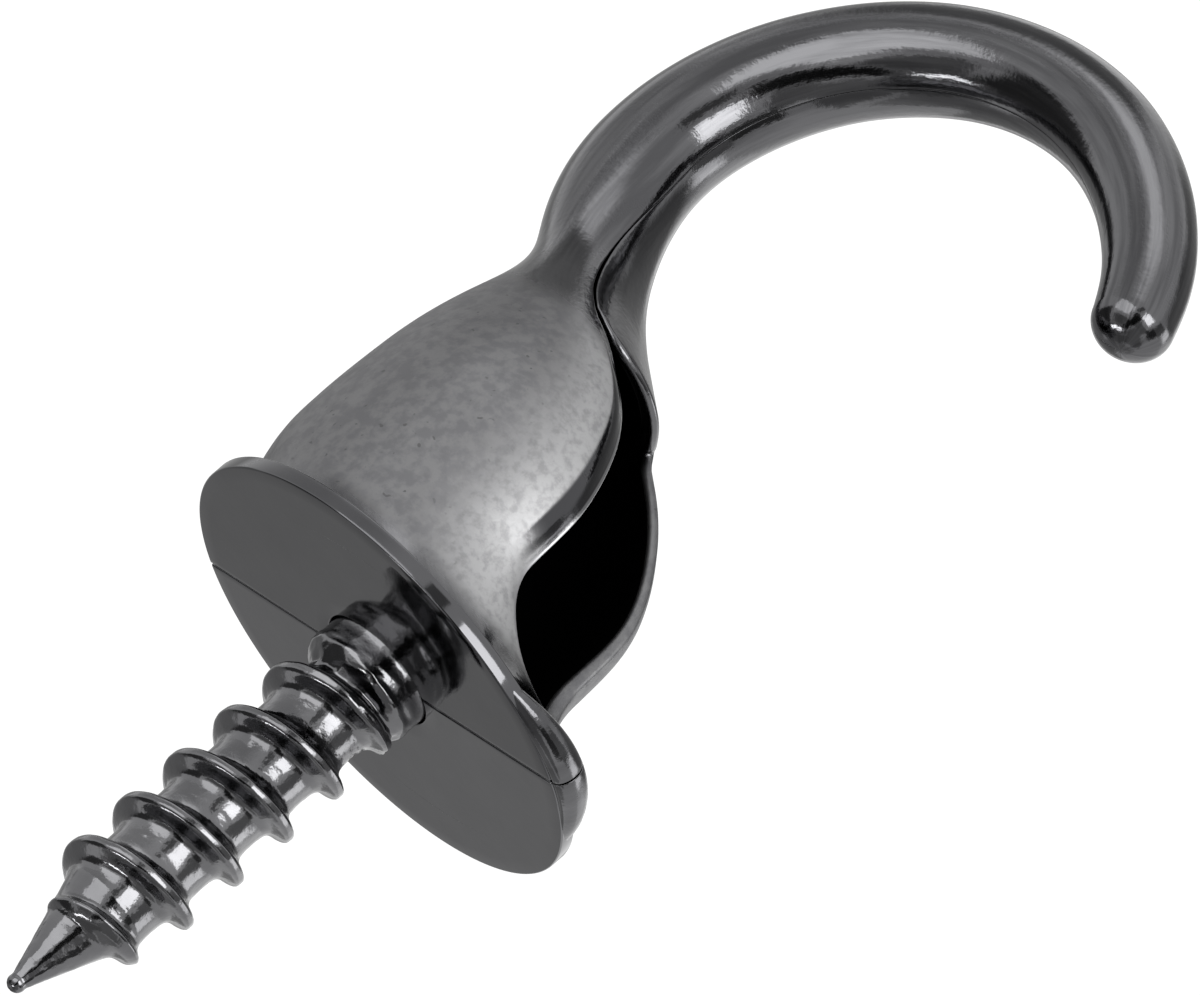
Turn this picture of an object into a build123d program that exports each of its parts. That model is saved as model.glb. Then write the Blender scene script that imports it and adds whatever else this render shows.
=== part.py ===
from build123d import *
import math
import os

# Ceiling hook pressed and folded from one piece of sheet steel, with a captive wood screw.
# +Z is up and is the way the screw points. The plate's mounting face lies on z = 0 and the
# screw's axis is the Z axis. The hook hangs below, in the XZ plane, with its mouth towards +X.
# "Drop" is the depth below the mounting face, so z = -drop.

# Sheet body
sheet = 0.6                  # thickness of the steel sheet
seam_gap = 0.08              # gap where two cut edges of the sheet meet
fold_clearance = 0.05        # gap between the plate and the leaves that stand over it

# Mounting plate: two half discs folded in under the bell
plate_diameter = 16.8
plate_offset = 0.1           # plate centre, off the screw's axis towards the mouth
plate_edge_round = 0.12
fold_radius = 5.5            # plan radius of the rim where each leaf folds under
fold_half_angle = 40.0       # half of the arc of that rim, in degrees
fold_reach = 0.5             # how far the folded rim stands out past the plate
fold_depth = 2.4             # how far the folded rim reaches in from its nose
fold_arch_radius = 9.75      # the folded rim thins away to both sides along this arc

# Bell: the two leaves below the plate
spine_offset = 8.5           # closed back of the bell, off the screw's axis
belly_depth = 13.1           # across the bell in the hook's plane
belly_width = 13.0           # across the bell, square to the hook's plane
belly_drop = 5.3
throat_pinch = 1.0           # how far the mouth side draws in above the opening
spine_hollow = 1.0           # how far the back draws in between the belly and the neck
waist_drop = 4.9             # where the leaves start to flare out to the rim
foot_width = 12.8            # across the bell where it stands on the plate
foot_spine_offset = 7.1      # back of the bell where it stands on the plate
foot_reach = 9.2             # where the flare of the feet would lie flat, off the screw's axis
foot_drop = 1.1              # and how deep
slot_front = 3.1             # opening between the leaves: its front edge, off the middle plane
slot_rear = 2.9              # and its rear edge
slot_draw = 0.6              # how far the front edge draws in half way up
slot_top = 0.65              # where the opening ends, as a share of the way from belly to neck
seam_offset = 2.9            # the seam above the opening starts this far off the middle plane
seam_offset_low = 2.1        # and this far just below the neck
seam_share_neck = 0.5        # at the neck, as a share of the tube's radius
seam_share_tube = 0.39       # and along the tube

# Hook: the rolled tube
bowl_radius = 10.15          # centreline of the bend
bowl_drop = 20.7             # centre of the bend
bowl_offset = 0.85           # centre of the bend, off the screw's axis
neck_angle = 197.0           # where the bend starts, from +X round through the lowest point
tip_angle = 25.5             # where the bend ends
neck_draw = 0.73             # how far the bend draws in at its start
bowl_draw = 0.14             # and before its end
tip_spread = 0.1             # and opens out at its end
neck_diameter = 4.3
tube_taper = 1.15            # how much thinner the tube gets along the bend
tip_diameter = 2.8
nose_length = 1.25           # domed end beyond the bend
nose_step = 0.02             # how far the domed end lies under the tube's skin
nose_overlap = 0.05          # how far the dome starts inside the tube's end
plug_overlap = 0.15          # how far the domed end's plug reaches into the sheet

# Wood screw
screw_length = 16.5          # from the mounting face to the point
thread_diameter = 4.6
core_diameter = 3.2
thread_pitch = 2.25
thread_start = 0.6           # above the mounting face, where the crest begins to rise
thread_run_in = 1.4          # length over which the crest rises to its full height
thread_lead = 2.2            # how far below its start the ridge's helix begins
thread_run_out = 1.6         # length over which the crest sinks into the point
crest_width = 0.4
root_width = 1.15
thread_sink = 0.2            # how far the ridge reaches into the core
shank_diameter = 4.3
shank_end = 0.9              # above the mounting face
point_length = 4.2
point_diameter = 0.6
hole_clearance = 0.15        # round the thread, in the plate
head_diameter = 7.4
head_height = 1.9
head_clearance = 0.05        # between the plate and the head

POINTS_AROUND = 15           # points along one cross-section of the sheet
TUBE_ROWS = 9                # cross-sections along the hook's bend
SLANT_LIMIT = 2.5            # most that a slanting wall is widened in its cross-section
CUT_OUT = 1.0                # how far the cutter of the opening stands outside the sheet
CUT_IN = 2.4                 # and inside it


def swell(share, start, end):
    """Bulge of the bell over the tube, from 1 at the belly to 0 at the neck."""
    return (1 - share ** start) ** end


def section(spine, mouth, width, first, last):
    """Points and outward directions along a cross-section, between two offsets from its middle.

    With the last offset under the first the line goes round the closed back, and with the
    last one over the first it crosses the mouth.
    """
    start = math.asin(first / (width / 2))
    reach = (math.asin(last / (width / 2)) - start) % (2 * math.pi)
    middle = Vector((spine[0] + mouth[0]) / 2, 0, -(spine[1] + mouth[1]) / 2)
    across = Vector((mouth[0] - spine[0]) / 2, 0, -(mouth[1] - spine[1]) / 2)
    points = []
    outward = []
    for i in range(POINTS_AROUND):
        angle = start + reach * i / (POINTS_AROUND - 1)
        side = Vector(0, width / 2, 0)
        points.append(middle + across * math.cos(angle) + side * math.sin(angle))
        lean = across.normalized() * (math.cos(angle) / across.length)
        outward.append((lean + Vector(0, 1, 0) * (math.sin(angle) / side.length)).normalized())
    return points, outward


def bend_point(angle, radius):
    """Point on the hook's plane at an angle and radius about the bend's centre."""
    turn = math.radians(angle)
    return (bowl_offset + radius * math.cos(turn), bowl_drop + radius * math.sin(turn))


def tube_ends(share):
    """Back and mouth side of the tube, and its diameter; share runs from neck to tip."""
    angle = neck_angle + (tip_angle - neck_angle) * share
    thin = neck_diameter - tube_taper
    diameter = neck_diameter - tube_taper * share - (thin - tip_diameter) * share ** 8
    radius = bowl_radius - neck_draw * (1 - share) ** 9 + tip_spread * share ** 12
    radius -= bowl_draw * math.sin(math.pi * share ** 3) ** 2
    return bend_point(angle, radius + diameter / 2), bend_point(angle, radius - diameter / 2), diameter


def tube_section(share):
    spine, mouth, diameter = tube_ends(share)
    offset = diameter / 2 * (seam_share_neck if share == 0 else seam_share_tube)
    return section(spine, mouth, diameter, offset, offset - seam_gap)


def tube_sections():
    """Rows along the bend, with one more just before its end to hold the curve there."""
    step = 1 / (TUBE_ROWS - 2)
    shares = [i * step for i in range(TUBE_ROWS - 2)] + [1 - step / 3, 1]
    return [tube_section(share) for share in shares]


def foot_ring(rise, drop):
    """Back, mouth side and width of the feet; rise runs from 0 at the waist to 1 at the rim."""
    open_share = math.sqrt(1 - rise ** 2)
    waist_mouth = belly_depth - spine_offset
    spine = (-spine_offset + (spine_offset - foot_spine_offset) * rise ** 2, drop)
    mouth = (foot_reach - (foot_reach - waist_mouth) * open_share, drop)
    return spine, mouth, belly_width + (foot_width - belly_width) * rise ** 2


def foot_places():
    """Rise and drop of each cross-section of the feet, from inside the plate to the waist."""
    flare = [(rise, waist_drop + (foot_drop - waist_drop) * rise) for rise in (0.97, 0.8, 0.4, 0)]
    return [(0.98, sheet * 0.8)] + flare


def bell_ring(share):
    """Back, mouth side and width of the bell; share runs from the belly to the neck."""
    neck_spine, neck_mouth = tube_ends(0)[:2]
    drop = belly_drop + (neck_spine[1] - belly_drop) * share
    hollow = spine_hollow * math.sin(math.pi * share ** 2.6) ** 2
    back = -spine_offset + (neck_spine[0] + spine_offset) * share ** 3.5 + hollow
    depth = neck_diameter + (belly_depth - neck_diameter) * swell(share / 0.9, 2.2, 1.4)
    depth -= throat_pinch * math.sin(math.pi * share ** 2.5) ** 4
    width = neck_diameter + (belly_width - neck_diameter) * swell(share / 0.93, 2.2, 1.65)
    fall = (neck_mouth[1] - neck_spine[1]) * share ** 2.2
    run = math.sqrt(max(depth ** 2 - fall ** 2, 0.1))
    return (back, drop), (back + run, drop + fall), width


def bell_sections():
    """The bell closed all round, its seam swinging over to the front leaf and back."""
    half_gap = seam_gap / 2
    rows = [section(*foot_ring(rise, drop), half_gap, -half_gap) for rise, drop in foot_places()]
    seams = (0.1 * seam_offset, 0.3 * seam_offset, 0.6 * seam_offset, seam_offset, seam_offset_low)
    for share, seam_place in zip((0.15, 0.35, 0.55, 0.72, 0.87), seams):
        rows.append(section(*bell_ring(share), seam_place, seam_place - seam_gap))
    return rows


def opening():
    """Cutter of the opening between the leaves: it widens from the rim and ends flat on top."""
    rows = []
    for rise, drop in foot_places():
        open_share = math.sqrt(1 - rise ** 2)
        rows.append(section(*foot_ring(rise, drop), -slot_rear * open_share, slot_front * open_share))
    for share, draw in ((0.15, 0), (0.35, 0.6), (0.55, 1), (slot_top, 0.2)):
        rows.append(section(*bell_ring(share), -slot_rear, slot_front - slot_draw * draw))
    outside, inside = [
        skin([[p + o * reach for p, o in zip(points, outward)] for points, outward in rows])
        for reach in (CUT_OUT, -CUT_IN)
    ]
    return walled(outside, inside)


def inner_points(rows, number):
    """Inner line of a cross-section, one sheet thickness under the outer skin."""
    points, outward = rows[number]
    before = rows[max(number - 1, 0)][0]
    after = rows[min(number + 1, len(rows) - 1)][0]
    last = POINTS_AROUND - 1
    inner = []
    for i in range(POINTS_AROUND):
        around = points[min(i + 1, last)] - points[max(i - 1, 0)]
        normal = around.cross(after[i] - before[i]).normalized()
        widening = min(SLANT_LIMIT, 1 / max(abs(normal.dot(outward[i])), 1 / SLANT_LIMIT))
        inner.append(points[i] - outward[i] * (sheet * widening))
    return inner


def skin(lines):
    """Smooth face through a row of lines that all have the same number of points."""
    shares = [i / (POINTS_AROUND - 1) for i in range(POINTS_AROUND)]
    wires = [Wire([Edge.make_spline(line, parameters=shares)]) for line in lines]
    return Shell.make_loft(wires).faces()[0]


def walled(outer, inner):
    """Solid between two skins, closed by ruled faces along their edges."""
    walls = [
        Face.make_surface_from_curves(out_edge, in_edge)
        for out_edge, in_edge in zip(outer.edges(), inner.edges())
    ]
    return Solid(Shell([outer, inner] + walls))


def leaves_and_tube():
    """Feet, bell and rolled hook as one sheet, cut flat where the leaves stand over the plate."""
    rows = bell_sections() + tube_sections()
    outer = skin([points for points, outward in rows])
    inner = skin([inner_points(rows, i) for i in range(len(rows))])
    trim = Pos(0, 0, -(sheet + fold_clearance) / 2) * Box(
        3 * plate_diameter, 3 * plate_diameter, sheet + fold_clearance
    )
    cut = walled(outer, inner) - trim - opening()
    # The opening's corner frees a chip of sheet where it meets the seam; the chip is dropped.
    return cut.solids().sort_by(SortBy.VOLUME)[-1]


def upright(x, drop):
    """Sketch plane square to Y, with its X along +X and its Y along +Z."""
    return Plane(origin=(x, 0, -drop), x_dir=(1, 0, 0), z_dir=(0, -1, 0))


def nose():
    """Closed, domed end of the rolled tube."""
    radius = tip_diameter / 2 - nose_step
    ball = (radius ** 2 + nose_length ** 2) / (2 * nose_length)
    low = math.degrees(math.atan2(ball - nose_length, radius))
    cap = CenterArc((0, nose_length - ball), ball, low, 90 - low)
    width = tip_diameter / 2 - sheet + plug_overlap
    outline = Polyline(
        (0, nose_length), (0, -nose_length), (width, -nose_length), (width, 0), (radius, 0)
    )
    profile = Plane.XZ * (Pos(0, -nose_overlap) * make_face(cap + outline))
    end = bend_point(tip_angle, bowl_radius + tip_spread)
    turn = math.radians(tip_angle)
    place = Plane(
        origin=(end[0], 0, -end[1]),
        x_dir=(math.cos(turn), 0, -math.sin(turn)),
        z_dir=(math.sin(turn), 0, math.cos(turn)),
    )
    return place * revolve(profile, Axis.Z)


def plate():
    """The disc that the two folded halves make up, its rim eased."""
    disc = Pos(plate_offset, 0, -sheet / 2) * Cylinder(plate_diameter / 2, sheet)
    return fillet(disc.edges(), plate_edge_round)


def folded_rim():
    """Rim at the mouth, where each leaf turns under to become its half of the plate."""
    height = 2 * sheet + fold_clearance
    profile = upright(fold_radius - height / 2, height / 2) * (
        Pos((height / 2 - fold_depth) / 2, 0) * Rectangle(fold_depth - height / 2, height)
        + Circle(height / 2)
    )
    rim = Rot(0, 0, -fold_half_angle) * revolve(profile, Axis.Z, 2 * fold_half_angle)
    rim = Pos(plate_offset + plate_diameter / 2 + fold_reach - fold_radius, 0, 0) * rim
    arch = Pos(0, 0, fold_arch_radius - height) * Rot(0, 90, 0) * Cylinder(
        fold_arch_radius, 4 * plate_diameter
    )
    return rim & arch


def seam():
    """Gap between the two halves of the plate, and on through the folded rim."""
    reach = plate_diameter
    under = Pos(0, 0, -sheet / 2) * Box(2 * reach, seam_gap, sheet + fold_clearance)
    rim_start = plate_offset + plate_diameter / 2 + fold_reach - fold_depth - sheet
    rim = Pos(rim_start + reach / 2, 0, -sheet) * Box(reach, seam_gap, 3 * sheet)
    return under + rim


def hook_body():
    """Plate, folded rim, bell and hook: one sheet, split along the seam."""
    hole = Cylinder(thread_diameter / 2 + hole_clearance, 4 * sheet)
    body = leaves_and_tube() + nose()
    body += plate() + folded_rim()
    return body - hole - seam()


def screw_profile():
    """Half profile of the plain screw: head, shank, core and point."""
    core = core_diameter / 2
    head_top = -sheet - head_clearance
    head_bottom = head_top - head_height
    outline = Polyline(
        (0, head_bottom), (head_diameter / 2, head_bottom), (head_diameter / 2, head_top),
        (shank_diameter / 2, head_top), (shank_diameter / 2, shank_end),
        (core, shank_end + (shank_diameter / 2 - core)),
        (core, screw_length - point_length), (point_diameter / 2, screw_length),
        (0, screw_length), (0, head_bottom),
    )
    return Plane.XZ * make_face(outline)


def thread_envelope():
    """Solid of revolution that lets the crest rise at the shank and sink at the point."""
    core = core_diameter / 2
    full = thread_diameter / 2
    end = screw_length - point_length + thread_run_out / 2
    outline = Polyline(
        (0, thread_start), (core, thread_start), (full, thread_start + thread_run_in),
        (full, end - thread_run_out), (core * 0.6, end + thread_run_out / 2), (0, end + thread_run_out / 2),
        (0, thread_start),
    )
    return revolve(Plane.XZ * make_face(outline), Axis.Z)


def thread():
    """Helical ridge with a narrow rounded crest and wide plain root between its turns."""
    bottom = core_diameter / 2 - thread_sink
    start = thread_start - thread_lead
    height = screw_length - point_length + thread_run_out - start
    path = Pos(0, 0, start) * Helix(thread_pitch, height, bottom)
    ridge = Plane(origin=(bottom, 0, start), x_dir=(1, 0, 0), z_dir=(0, -1, 0)) * make_face(Polyline(
        (0, -root_width / 2), (thread_diameter / 2 - bottom, -crest_width / 2),
        (thread_diameter / 2 - bottom, crest_width / 2), (0, root_width / 2), (0, -root_width / 2),
    ))
    return sweep(ridge, path, is_frenet=True)


def wood_screw():
    """Plain screw with the ridge on it; the ridge starts opposite the plain screw's own seam."""
    plain = revolve(screw_profile(), Axis.Z)
    return plain + Rot(0, 0, 180) * (thread() & thread_envelope())


if __name__ == "__main__":
    os.makedirs("parts", exist_ok=True)
    export_step(hook_body(), "parts/hook_body.step")
    export_step(wood_screw(), "parts/wood_screw.step")
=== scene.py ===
import logging
import math
from dataclasses import dataclass
from enum import Enum

import bmesh
import bpy
import numpy as np
from mathutils import Matrix, Vector, noise


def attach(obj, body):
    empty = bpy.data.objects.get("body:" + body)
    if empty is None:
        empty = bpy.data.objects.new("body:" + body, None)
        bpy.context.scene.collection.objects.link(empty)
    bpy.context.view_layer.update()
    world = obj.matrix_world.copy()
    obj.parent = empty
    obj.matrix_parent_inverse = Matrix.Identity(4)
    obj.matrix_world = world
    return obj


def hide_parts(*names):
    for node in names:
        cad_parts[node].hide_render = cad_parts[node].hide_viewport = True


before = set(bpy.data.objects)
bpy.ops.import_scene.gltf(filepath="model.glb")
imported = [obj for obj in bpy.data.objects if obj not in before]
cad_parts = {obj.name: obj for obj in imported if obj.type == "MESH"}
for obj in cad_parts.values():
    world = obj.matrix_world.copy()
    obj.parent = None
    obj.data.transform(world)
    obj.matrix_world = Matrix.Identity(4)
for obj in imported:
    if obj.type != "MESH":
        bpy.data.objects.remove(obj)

# Ceiling hook pressed and folded from sheet steel, with a captive wood screw. Lengths here are in
# millimetres and become metres when a mesh is handed over. The plate's mounting face lies on z = 0,
# the screw stands on +Z and the hook hangs below with its mouth towards +X. "Drop" is the depth
# below the mounting face.

LOG = logging.getLogger("ceiling_hook")
MM = 0.001
ROOT = "root"
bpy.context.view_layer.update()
# How far the inner skin lies from the outer one in the sheet's own map.
INNER_MAP = 3.0
# Points of a finished piece that lie closer than this are one, and shorter edges are dropped.
SAME_POINT = 0.002
NO_EDGE = 0.0005
# Where an easing starts and ends.
Span = tuple[float, float]

# Settings that several nodes share.
EASED = {"interpolation_type": "SMOOTHSTEP"}
TIMES = {"operation": "MULTIPLY"}
COLOURS = {"data_type": "RGBA"}


class Slot(Enum):
    """Material slots of the record."""

    SHEET = "plated_sheet"
    SCREW = "plated_screw"


class Side(Enum):
    """Halves of the mounting plate, by the sign of their y."""

    FRONT = 1
    REAR = -1


def linear(hex_colour: str) -> tuple[float, float, float, float]:
    """Turns an sRGB hex colour into linear light.

    Args:
        hex_colour: Six hex digits, without a hash.

    Returns:
        Red, green, blue and alpha for a shader socket.
    """
    shares = [int(hex_colour[i : i + 2], 16) / 255 for i in (0, 2, 4)]
    lit = [s / 12.92 if s <= 0.04045 else ((s + 0.055) / 1.055) ** 2.4 for s in shares]
    return (*lit, 1.0)


def smooth_step(value: np.ndarray, low: float, high: float) -> np.ndarray:
    """Eases from 0 at low to 1 at high.

    Args:
        value: Where to read the curve.
        low: Where it leaves 0.
        high: Where it reaches 1.

    Returns:
        The eased shares.
    """
    share = np.clip((value - low) / (high - low), 0.0, 1.0)
    return share * share * (3 - 2 * share)


def curve_through(knots: np.ndarray, values: np.ndarray, places: np.ndarray) -> np.ndarray:
    """Reads a natural cubic curve that runs through every row of values.

    Args:
        knots: Place of each row along the curve.
        values: One row of numbers per knot.
        places: Where to read the curve.

    Returns:
        One row of numbers per place.
    """
    count = len(knots)
    gaps = np.diff(knots)
    system = np.eye(count)
    right = np.zeros_like(values)
    for i in range(1, count - 1):
        system[i, i - 1 : i + 2] = gaps[i - 1], 2 * (gaps[i - 1] + gaps[i]), gaps[i]
        right[i] = 6 * (
            (values[i + 1] - values[i]) / gaps[i] - (values[i] - values[i - 1]) / gaps[i - 1]
        )
    bend = np.linalg.solve(system, right)
    i = np.clip(np.searchsorted(knots, places) - 1, 0, count - 2)
    gap = gaps[i][:, None]
    past = (places - knots[i])[:, None]
    ahead = (knots[i + 1] - places)[:, None]
    return (
        (bend[i] * ahead**3 + bend[i + 1] * past**3) / (6 * gap)
        + (values[i] / gap - bend[i] * gap / 6) * ahead
        + (values[i + 1] / gap - bend[i + 1] * gap / 6) * past
    )


def unit(vectors: np.ndarray) -> np.ndarray:
    """Gives vectors the length 1."""
    return vectors / np.maximum(np.linalg.norm(vectors, axis=-1, keepdims=True), 1e-9)


def waviness(points: np.ndarray, scale: float, seed: float) -> np.ndarray:
    """Soft noise between -1 and 1 at each point.

    Args:
        points: Points in millimetres, in any array whose last axis has three numbers.
        scale: Size of one swell, in millimetres.
        seed: Offset that picks another pattern.

    Returns:
        One number per point.
    """
    flat = points.reshape(-1, 3) / scale + seed
    read = [noise.noise(Vector(p)) for p in flat]
    return np.array(read).reshape(points.shape[:-1])


def pressed_blank(points: np.ndarray, uvs: np.ndarray) -> bmesh.types.BMesh:
    """Lays a flat grid of sheet into shape.

    Args:
        points: Place of each crossing, by row and column, in millimetres.
        uvs: The same crossings in the surface's own map.

    Returns:
        The shaped mesh, with a UV map.
    """
    rows, columns = points.shape[:2]
    bm = bmesh.new()
    bmesh.ops.create_grid(bm, x_segments=columns - 1, y_segments=rows - 1, size=0.5)
    layer = bm.loops.layers.uv.new("UVMap")
    crossing = {
        v: (round((v.co.y + 0.5) * (rows - 1)), round((v.co.x + 0.5) * (columns - 1)))
        for v in bm.verts
    }
    for face in bm.faces:
        for loop in face.loops:
            loop[layer].uv = uvs[crossing[loop.vert]]
    for vert, place in crossing.items():
        vert.co = points[place]
    return bm


def new_object(bm: bmesh.types.BMesh, name: str) -> bpy.types.Object:
    """Puts a finished mesh into the scene.

    Args:
        bm: The mesh in metres, which is freed.
        name: Name of the object and of its mesh.

    Returns:
        The new object.
    """
    mesh = bpy.data.meshes.new(name)
    bm.to_mesh(mesh)
    bm.free()
    made = bpy.data.objects.new(name, mesh)
    bpy.context.scene.collection.objects.link(made)
    return made


def hand_over(
    bm: bmesh.types.BMesh, name: str, material: bpy.types.Material, node: str
) -> bpy.types.Object:
    """Finishes a piece: merges doubles, turns faces outwards and puts it on the frame.

    Args:
        bm: The mesh, in millimetres.
        name: Name of the piece.
        material: Its finish.
        node: CAD node that it stands for.

    Returns:
        The new object.
    """
    bmesh.ops.remove_doubles(bm, verts=bm.verts, dist=SAME_POINT)
    bmesh.ops.dissolve_degenerate(bm, edges=bm.edges, dist=NO_EDGE)
    bmesh.ops.recalc_face_normals(bm, faces=bm.faces)
    open_edges = sum(1 for edge in bm.edges if not edge.is_manifold)
    bmesh.ops.scale(bm, vec=(MM, MM, MM), verts=bm.verts)
    piece = new_object(bm, name)
    piece.data.shade_smooth()
    piece.data.materials.append(material)
    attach(piece, ROOT)
    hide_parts(node)
    LOG.info("%s: %d faces, %d open edges", name, len(piece.data.polygons), open_edges)
    return piece


@dataclass
class Rows:
    """Cross-sections of the sheet from the folded rim, up the leaves and round the hook.

    Back and mouth are the two ends of a section on the middle plane, front and rear the
    offsets of the leaves' cut edges from that plane, and above_slot the height over the top
    of the opening.
    """

    back: np.ndarray
    mouth: np.ndarray
    width: np.ndarray
    front: np.ndarray
    rear: np.ndarray
    rise: np.ndarray
    turn: np.ndarray
    wall: np.ndarray
    edge: np.ndarray
    along: np.ndarray
    above_slot: np.ndarray

    @property
    def middle(self) -> np.ndarray:
        """Middles of the sections, as x and drop."""
        return (self.back + self.mouth) / 2


@dataclass
class SheetBody:
    """The two leaves of the bell and the rolled hook: one pressed and rolled sheet.

    Offsets are from the screw's axis. A power sets how late along its run a change comes.
    """

    sheet: float = 0.6
    seam_gap: float = 0.08
    hook_gap: float = 0.025
    gap_span: Span = (0.0, 7.0)
    # Folded rim: its outline in plan, its section, and the landing of the leaves on it.
    plate_radius: float = 8.4
    plate_offset: float = 0.1
    fold_radius: float = 5.5
    fold_middle: float = 3.5
    fold_side: float = 3.54
    fold_overrun: float = 0.9
    fold_fade: float = 1.2
    fold_arch_radius: float = 9.75
    fold_turns: Span = (-130.0, 80.0)
    fold_rows: int = 16
    rim_depth: float = 1.25
    rim_lift: float = 0.03
    rim_walls: Span = (0.15, 0.4)
    wall_span: Span = (0.0, 0.2)
    wall_limit: float = 0.43
    side_landing: float = 0.5
    side_reach: float = 0.1
    # Bell: feet, belly and the run up to the neck.
    foot_width: float = 12.8
    foot_spine_offset: float = 7.1
    foot_reach: float = 8.6
    foot_rows: int = 27
    foot_guides: tuple[float, ...] = (0.8, 0.4, 0.0)
    waist_drop: float = 4.9
    spine_offset: float = 8.5
    spine_hollow: float = 1.0
    spine_power: float = 3.5
    hollow_power: float = 2.6
    belly_depth: float = 13.1
    belly_width: float = 13.0
    belly_drop: float = 5.3
    depth_swell: tuple[float, float, float] = (0.9, 2.2, 1.4)
    width_swell: tuple[float, float, float] = (0.93, 2.2, 1.65)
    throat_pinch: float = 1.0
    pinch_power: float = 2.5
    mouth_power: float = 2.2
    bell_shares: tuple[float, ...] = (0.15, 0.35, 0.55, 0.72, 0.87)
    neck_softness: float = 1.3
    neck_reach: float = 3.5
    # Opening between the leaves.
    slot_front: float = 3.1
    slot_rear: float = 2.9
    slot_draw: float = 0.65
    slot_draw_over: float = 2.0
    slot_draw_power: float = 1.6
    slot_height: float = 8.9
    slot_corner: float = 0.4
    slot_slope: float = 3.0
    slot_edge: float = 0.15
    edge_share: float = 0.3
    edge_span: Span = (0.3, 2.0)
    edge_limit: float = 0.95
    edge_turns: tuple[float, ...] = (30.0, 60.0, 90.0)
    # Seam, in degrees round the section from the mouth, and where it runs into the opening.
    seam_turn: float = 61.0
    seam_swing: float = 43.0
    swing_span: Span = (1.8, 10.0)
    seam_dip: float = 10.0
    dip_span: Span = (-0.5, 2.0)
    close_span: Span = (-0.2, 1.3)
    top_height: float = 0.3
    # Rolled hook.
    bowl_radius: float = 10.15
    bowl_drop: float = 20.7
    bowl_offset: float = 0.85
    bowl_draw: float = 0.14
    bowl_power: float = 3.0
    neck_angle: float = 197.0
    neck_draw: float = 0.73
    neck_power: float = 9.0
    neck_diameter: float = 4.3
    tube_taper: float = 1.15
    tip_angle: float = 25.5
    tip_spread: float = 0.02
    spread_power: float = 12.0
    tip_diameter: float = 2.8
    tip_power: float = 8.0
    tube_rows: int = 7
    dome_length: float = 1.2
    dome_rows: int = 20
    # Margins of the leaves: thinned, rolled in, and a bump at the rear leaf's corner.
    margin_thinning: float = 0.22
    thin_power: int = 6
    thin_span: Span = (3.0, 10.0)
    thin_end: Span = (-3.0, -0.5)
    margin_curl: float = 0.24
    rear_curl: float = 0.35
    curl_width: float = 0.85
    curl_power: float = 1.5
    curl_span: Span = (2.5, 5.0)
    curl_end: Span = (-0.6, 0.8)
    corner_bump: float = 0.14
    bump_height: float = 0.25
    bump_reach: float = 0.5
    bump_width: float = 0.7
    bump_start: Span = (-0.25, 0.05)
    # Waviness of pressed sheet: height, size of one swell, and seed of each layer.
    swells: tuple[tuple[float, float, float], ...] = ((0.012, 3.2, 4.7), (0.004, 1.3, 9.1))
    swell_span: Span = (2.0, 4.0)
    swell_end: Span = (0.8, 2.5)
    # Mesh.
    samples: int = 2400
    margin_samples: int = 400
    width_samples: int = 65
    knot_ease: float = 0.15
    row_step: float = 0.2
    columns: int = 112
    column_power: float = 1.15
    map_length: float = 10.0
    probe: float = 0.004

    def bend_point(self, angle: float, radius: float) -> tuple[float, float]:
        """Point on the hook's plane at an angle and radius about the bend's centre."""
        turn = math.radians(angle)
        return (
            self.bowl_offset + radius * math.cos(turn),
            self.bowl_drop + radius * math.sin(turn),
        )

    def tube_row(self, share: float) -> list[float]:
        """Cross-section of the rolled hook.

        Args:
            share: Place from 0 at the neck to 1 at the tip.

        Returns:
            Back and mouth, each as x and drop, and the width.
        """
        angle = self.neck_angle + (self.tip_angle - self.neck_angle) * share
        thin = self.neck_diameter - self.tube_taper
        diameter = self.neck_diameter - self.tube_taper * share
        diameter -= (thin - self.tip_diameter) * share**self.tip_power
        radius = self.bowl_radius - self.neck_draw * (1 - share) ** self.neck_power
        radius += self.tip_spread * share**self.spread_power
        radius -= self.bowl_draw * math.sin(math.pi * share**self.bowl_power) ** 2
        back = self.bend_point(angle, radius + diameter / 2)
        mouth = self.bend_point(angle, radius - diameter / 2)
        return [*back, *mouth, diameter]

    def bell_row(self, share: float) -> list[float]:
        """Cross-section of the bell.

        Args:
            share: Place from 0 at the belly to 1 at the neck.

        Returns:
            Back and mouth, each as x and drop, and the width.
        """

        def swell(end: float, start_power: float, end_power: float) -> float:
            """Share of the swell that is left: all at the belly, none from its end on."""
            return max(0.0, 1 - (share / end) ** start_power) ** end_power

        neck_back_x, neck_back, _, neck_mouth = self.tube_row(0)[:4]
        drop = self.belly_drop + (neck_back - self.belly_drop) * share
        hollow = self.spine_hollow * math.sin(math.pi * share**self.hollow_power) ** 2
        back = (neck_back_x + self.spine_offset) * share**self.spine_power + hollow
        back -= self.spine_offset
        depth = self.neck_diameter
        depth += (self.belly_depth - self.neck_diameter) * swell(*self.depth_swell)
        depth -= self.throat_pinch * math.sin(math.pi * share**self.pinch_power) ** 4
        width = self.neck_diameter
        width += (self.belly_width - self.neck_diameter) * swell(*self.width_swell)
        fall = (neck_mouth - neck_back) * share**self.mouth_power
        run = math.sqrt(max(depth**2 - fall**2, 0.1))
        return [back, drop, back + run, drop + fall, width]

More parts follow.
